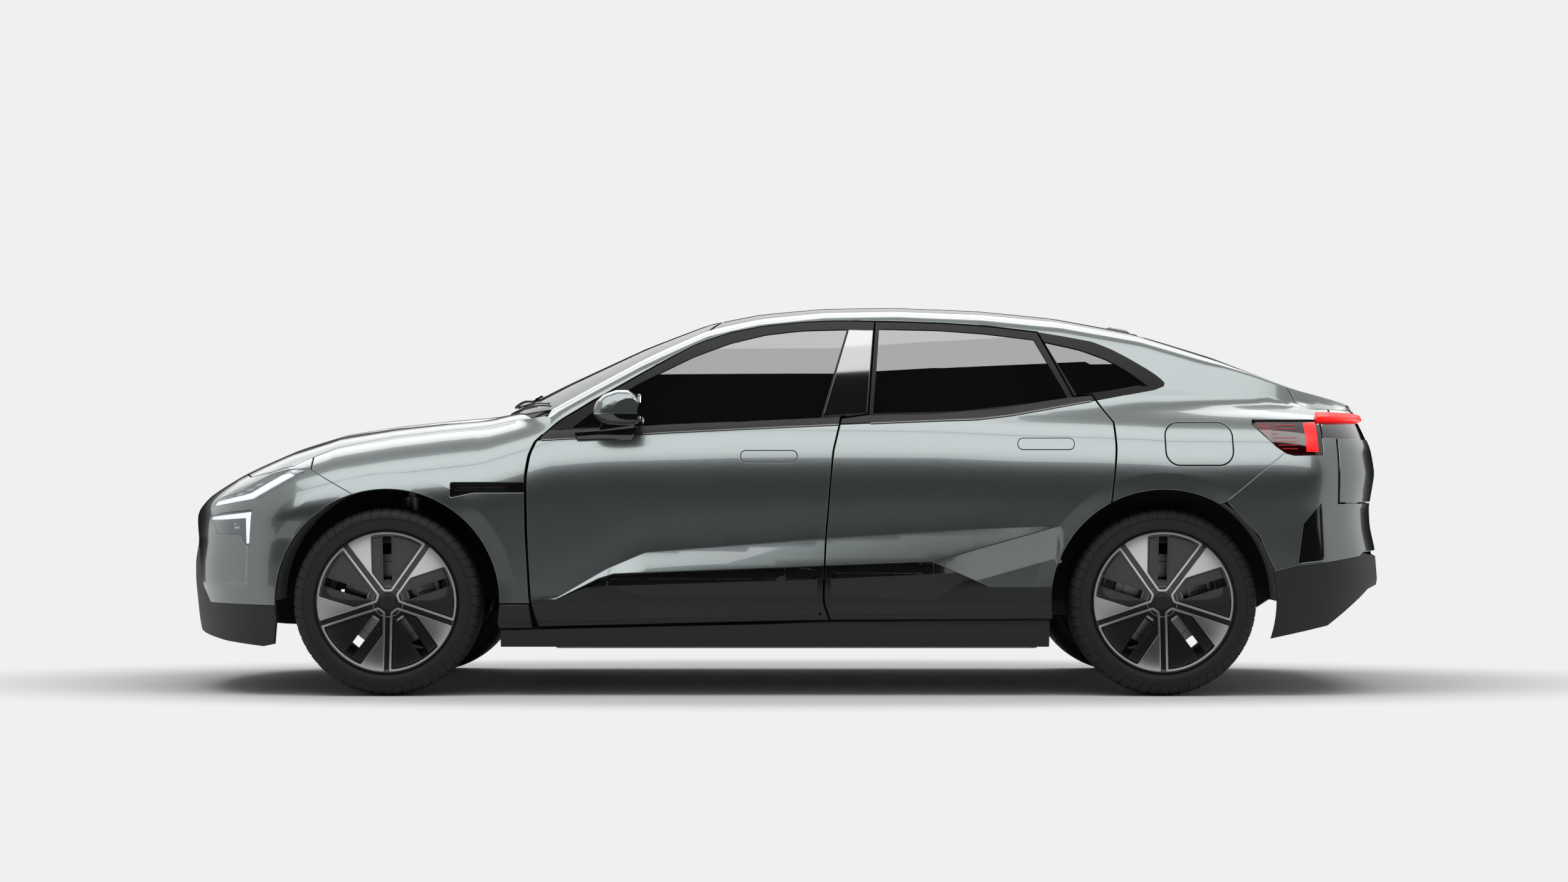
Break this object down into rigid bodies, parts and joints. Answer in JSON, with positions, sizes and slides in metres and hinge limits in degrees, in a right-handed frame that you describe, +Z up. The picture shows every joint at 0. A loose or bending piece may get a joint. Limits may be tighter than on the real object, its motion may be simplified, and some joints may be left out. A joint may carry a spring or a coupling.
{
  "type": "electric coupe suv",
  "caption": "Electric coupe SUV with opening doors, hood and tailgate, turning wheels and steering front axle",
  "frame": {"origin": "on the ground, below the middle of the car's length and width", "axes": "+X rearward along the length, +Y to the car's right side, +Z up"},
  "size_m": [4.84, 2.13, 1.5446],
  "materials": {
    "body_paint": "metallic, clear-coated",
    "tinted_glass": "dark tinted, polished",
    "gloss_black": "gloss black",
    "grey_cladding": "grained, satin",
    "wheel_alloy": "machined and painted",
    "tyre_rubber": "moulded rubber",
    "bright_steel": "bare",
    "cast_alloy": "as cast",
    "seat_leather": "fine grain, stitched",
    "cabin_trim": "soft grain",
    "lamp_lens": "clear lens over black",
    "red_lens": "dark red lens"
  },
  "bodies": {
    "root": {"battery_pack": "cast_alloy", "body_sides": "body_paint", "camera_pod": "gloss_black", "centre_console": "cabin_trim", "dashboard": "cabin_trim", "drive_units": "cast_alloy", "fenders": "body_paint", "floor_pan": "cabin_trim", "front_bumper": "body_paint", "front_lower_bumper": "grey_cladding", "front_seats": "seat_leather", "headlamps": "lamp_lens", "quarter_glass": "tinted_glass", "rear_bumper": "body_paint", "rear_knuckles": "cast_alloy", "rear_lower_bumper": "grey_cladding", "rear_seat": "seat_leather", "roof_glass": "tinted_glass", "scuttle": "grey_cladding", "side_frames": "cabin_trim", "sills": "grey_cladding", "steering_wheel": "cabin_trim", "suspension_arms": "bright_steel", "tail_lamps": "red_lens", "wheel_liners": "grey_cladding", "windscreen": "tinted_glass"},
    "knuckle_front_left": {"knuckle_front_left": "cast_alloy"},
    "wheel_front_left": {"wheel_front_left": "wheel_alloy", "tyre_front_left": "tyre_rubber"},
    "wheel_rear_left": {"wheel_rear_left": "wheel_alloy", "tyre_rear_left": "tyre_rubber"},
    "door_front_left": {"door_front_left": "body_paint", "door_glass_front_left": "tinted_glass", "mirror_left": "body_paint"},
    "door_rear_left": {"door_rear_left": "body_paint", "door_glass_rear_left": "tinted_glass"},
    "knuckle_front_right": {"knuckle_front_right": "cast_alloy"},
    "wheel_front_right": {"wheel_front_right": "wheel_alloy", "tyre_front_right": "tyre_rubber"},
    "wheel_rear_right": {"wheel_rear_right": "wheel_alloy", "tyre_rear_right": "tyre_rubber"},
    "door_front_right": {"door_front_right": "body_paint", "door_glass_front_right": "tinted_glass", "mirror_right": "body_paint"},
    "door_rear_right": {"door_rear_right": "body_paint", "door_glass_rear_right": "tinted_glass"},
    "hood": {"hood": "body_paint"},
    "tailgate": {"tailgate": "body_paint", "rear_light_bar": "red_lens"},
    "charge_flap": {"charge_flap": "body_paint"}
  },
  "joints": [
    {"name": "steer_left", "type": "hinge", "parent": "root", "child": "knuckle_front_left", "pos_m": [-1.534, -0.8, 0.364], "axis": [0, 0, 1], "range_deg": [-35, 35]},
    {"name": "spin_front_left", "type": "hinge", "parent": "knuckle_front_left", "child": "wheel_front_left", "pos_m": [-1.534, -0.845, 0.364], "axis": [0, 1, 0], "continuous": true},
    {"name": "spin_rear_left", "type": "hinge", "parent": "root", "child": "wheel_rear_left", "pos_m": [1.465, -0.845, 0.364], "axis": [0, 1, 0], "continuous": true},
    {"name": "door_front_left_hinge", "type": "hinge", "parent": "root", "child": "door_front_left", "pos_m": [-0.999, -1, 0.6], "axis": [0, 0, -1], "range_deg": [0, 65]},
    {"name": "door_rear_left_hinge", "type": "hinge", "parent": "root", "child": "door_rear_left", "pos_m": [0.15, -1, 0.6], "axis": [0, 0, -1], "range_deg": [0, 70]},
    {"name": "steer_right", "type": "hinge", "parent": "root", "child": "knuckle_front_right", "pos_m": [-1.534, 0.8, 0.364], "axis": [0, 0, 1], "range_deg": [-35, 35]},
    {"name": "spin_front_right", "type": "hinge", "parent": "knuckle_front_right", "child": "wheel_front_right", "pos_m": [-1.534, 0.845, 0.364], "axis": [0, 1, 0], "continuous": true},
    {"name": "spin_rear_right", "type": "hinge", "parent": "root", "child": "wheel_rear_right", "pos_m": [1.465, 0.845, 0.364], "axis": [0, 1, 0], "continuous": true},
    {"name": "door_front_right_hinge", "type": "hinge", "parent": "root", "child": "door_front_right", "pos_m": [-0.999, 1, 0.6], "axis": [0, 0, 1], "range_deg": [0, 65]},
    {"name": "door_rear_right_hinge", "type": "hinge", "parent": "root", "child": "door_rear_right", "pos_m": [0.15, 1, 0.6], "axis": [0, 0, 1], "range_deg": [0, 70]},
    {"name": "hood_hinge", "type": "hinge", "parent": "root", "child": "hood", "pos_m": [-0.975, 0, 1.06], "axis": [0, 1, 0], "range_deg": [0, 55]},
    {"name": "tailgate_hinge", "type": "hinge", "parent": "root", "child": "tailgate", "pos_m": [1.44, 0, 1.437], "axis": [0, -1, 0], "range_deg": [0, 75]},
    {"name": "charge_flap_hinge", "type": "hinge", "parent": "root", "child": "charge_flap", "pos_m": [1.474, -0.99, 0.975], "axis": [0, 0, -1], "range_deg": [0, 90]}
  ],
  "couplings": [
    {"joint": "steer_right", "follows": "steer_left", "ratio": 1}
  ]
}
